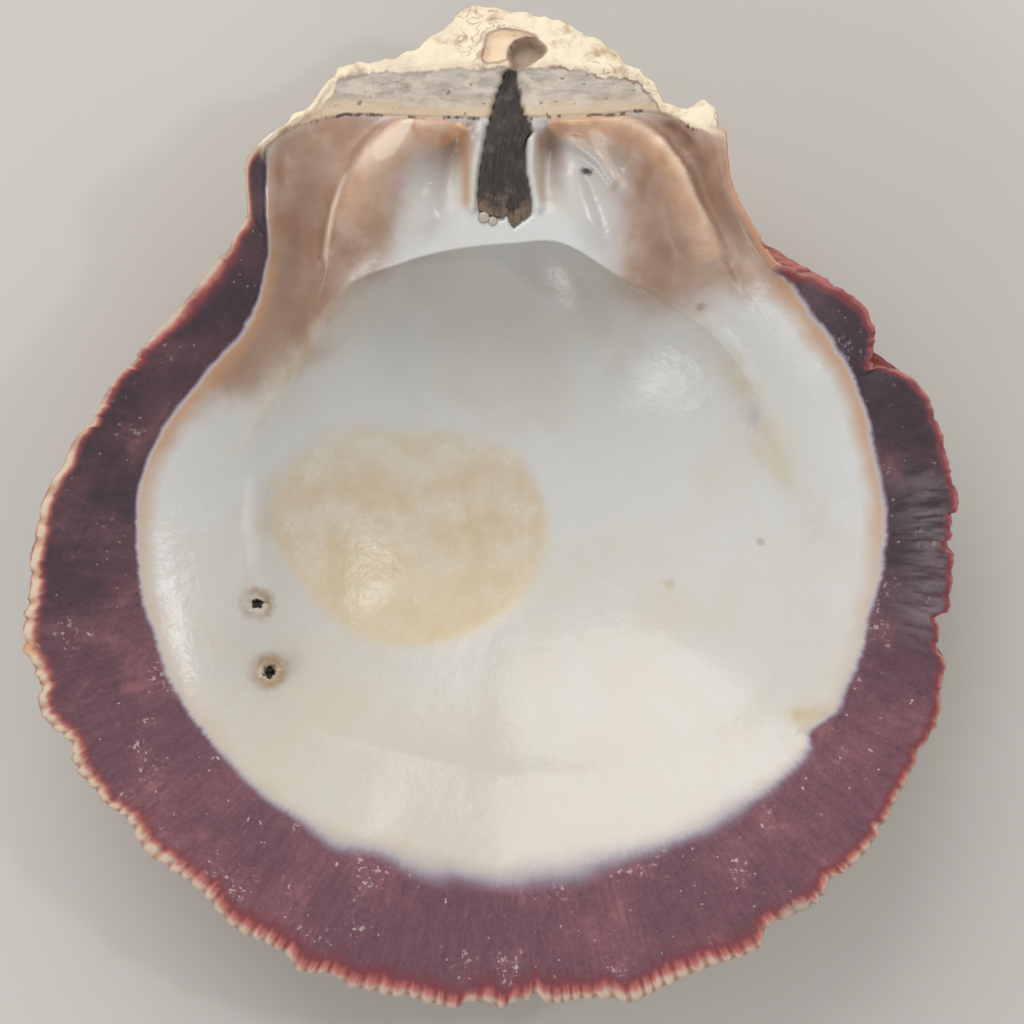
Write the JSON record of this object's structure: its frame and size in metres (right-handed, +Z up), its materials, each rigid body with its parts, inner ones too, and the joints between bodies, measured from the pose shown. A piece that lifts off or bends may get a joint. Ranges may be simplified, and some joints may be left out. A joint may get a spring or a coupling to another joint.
{
  "type": "spiny oyster shell",
  "caption": "Upper valve of a large spiny oyster with its dried hinge ligament: a porcelain bowl with a purple margin band, a toothed hinge and a ribbed, spiny back.",
  "frame": {"origin": "middle of the worn flat spot on the back that the valve rests on, under its centre of mass", "axes": "+Z up out of the bowl, +Y towards the hinge and the beak, +X to the right when the hinge is away from the viewer"},
  "size_m": [0.1553, 0.1682, 0.0428],
  "materials": {
    "shell": "polished porcelain inside, dull plum band at the margin, chalky ribbed back",
    "ligament": "dried and fibrous"
  },
  "bodies": {
    "root": {"valve": "shell", "ligament": "ligament"}
  },
  "joints": []
}
